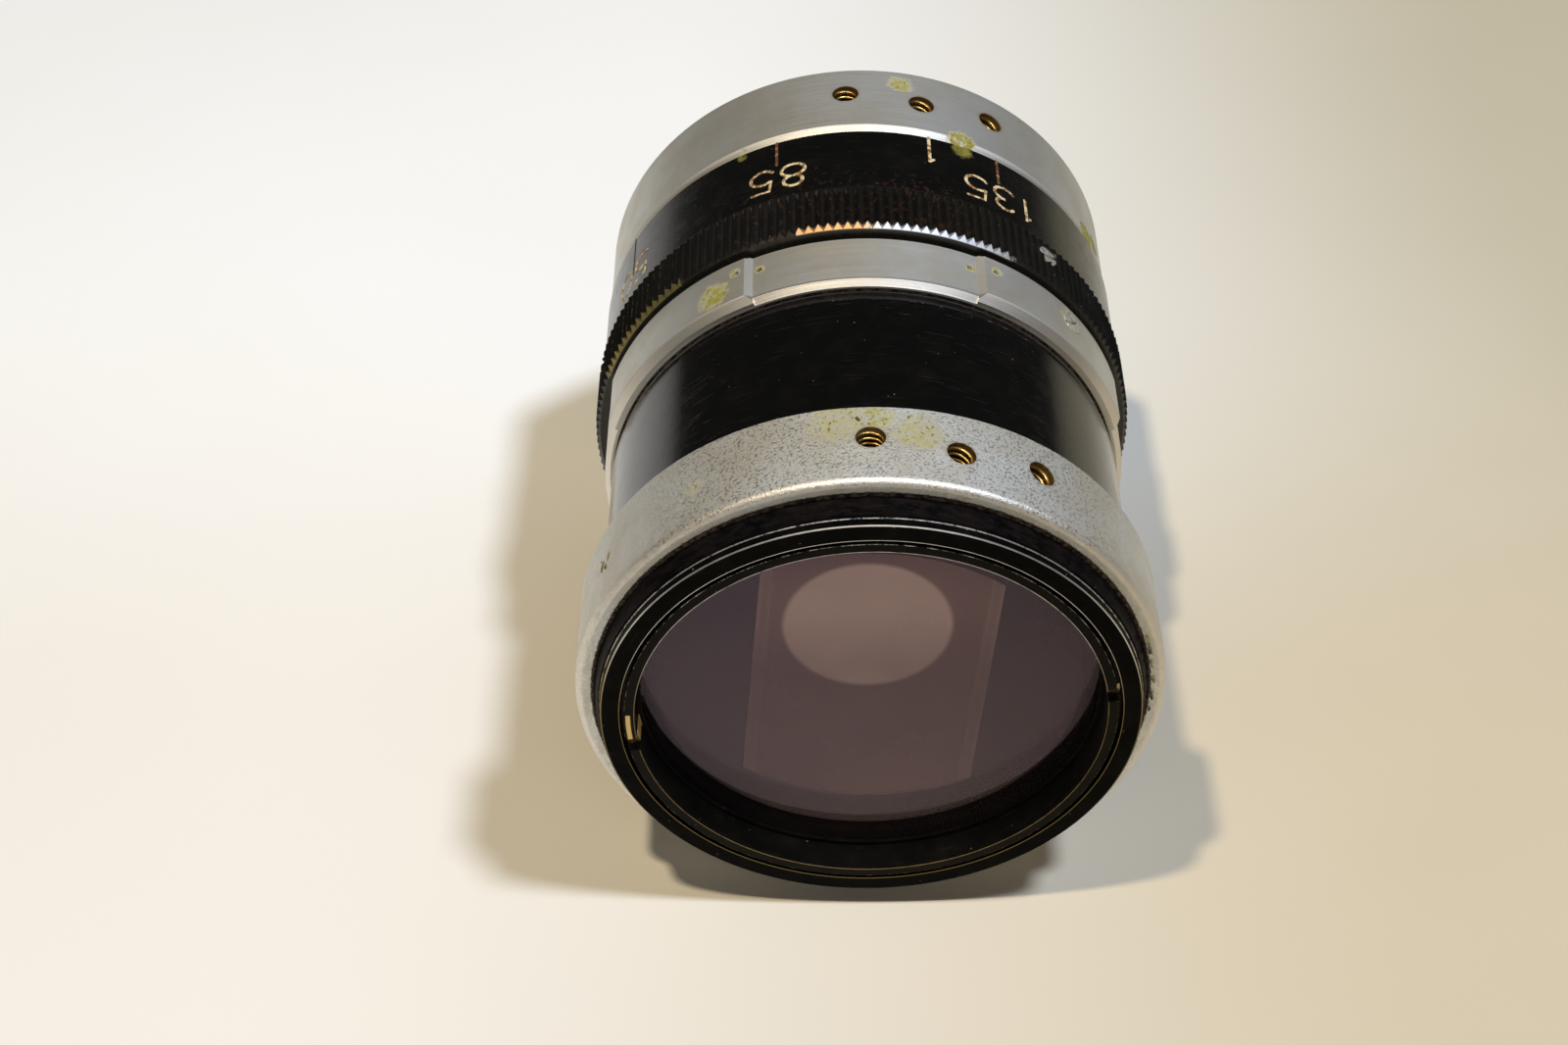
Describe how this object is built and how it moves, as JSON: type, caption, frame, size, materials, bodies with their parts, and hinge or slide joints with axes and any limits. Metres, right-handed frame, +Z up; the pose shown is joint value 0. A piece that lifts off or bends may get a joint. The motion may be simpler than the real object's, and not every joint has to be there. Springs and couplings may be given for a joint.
{
  "type": "tubular zoom viewfinder",
  "caption": "Tubular brass zoom viewfinder for a rangefinder camera, with a knurled scale ring, sliding lens cells and tapped foot holes.",
  "frame": {"origin": "on the optical axis in the plane of the front face, at the mouth of the front bore", "axes": "+Y along the optical axis from the front glass to the eyepiece, +Z up with the foot's saddle on top, +X to the right seen from the front"},
  "size_m": [0.0396, 0.0532, 0.0396],
  "materials": {
    "satin_chrome": "satin chrome on brass, bead blasted, with brass grime at the edges",
    "black_enamel": "gloss black enamel on brass, worn to bright metal on edges",
    "bare_brass": "turned",
    "blackened_brass": "matt chemical black",
    "optical_glass": "polished, hazy inside with age",
    "steel": "turned, bright"
  },
  "bodies": {
    "body": {"front_ring": "satin_chrome", "middle_ring": "satin_chrome", "rear_ring": "satin_chrome", "front_bezel": "black_enamel", "front_retaining_ring": "black_enamel", "front_barrel": "black_enamel", "eyepiece_cap": "black_enamel", "eyepiece_cell": "black_enamel", "main_tube": "bare_brass", "prism_retaining_ring": "blackened_brass", "prism_cage": "blackened_brass", "field_mask": "blackened_brass", "eyepiece_spacer": "blackened_brass", "eyepiece_retaining_ring": "blackened_brass", "objective_lens": "optical_glass", "erecting_prism": "optical_glass", "eyepiece_front_lens": "optical_glass", "eyepiece_rear_lens": "optical_glass", "middle_ring_screws": "steel", "rear_ring_screws": "steel", "stop_pin": "steel"},
    "zoom": {"zoom_ring": "black_enamel", "cam_sleeve": "bare_brass", "zoom_ring_screws": "steel"},
    "variator": {"variator_cell": "blackened_brass", "variator_lens": "optical_glass", "variator_retaining_ring": "blackened_brass", "variator_pins": "steel"},
    "compensator": {"compensator_cell": "blackened_brass", "compensator_lens": "optical_glass", "compensator_retaining_ring": "blackened_brass", "compensator_pins": "steel"}
  },
  "joints": [
    {"name": "zoom_turn", "type": "hinge", "parent": "body", "child": "zoom", "pos_m": [0, 0.034, 0], "axis": [0, -1, 0], "range_deg": [0, 130]},
    {"name": "variator_slide", "type": "slide", "parent": "body", "child": "variator", "axis": [0, 1, 0], "range_m": [0, 0.0075]},
    {"name": "compensator_slide", "type": "slide", "parent": "body", "child": "compensator", "axis": [0, -1, 0], "range_m": [0, 0.0044]}
  ],
  "couplings": [
    {"joint": "variator_slide", "follows": "zoom_turn", "m_per_rad": 0.0033055},
    {"joint": "compensator_slide", "follows": "zoom_turn", "m_per_rad": 0.0019392}
  ]
}
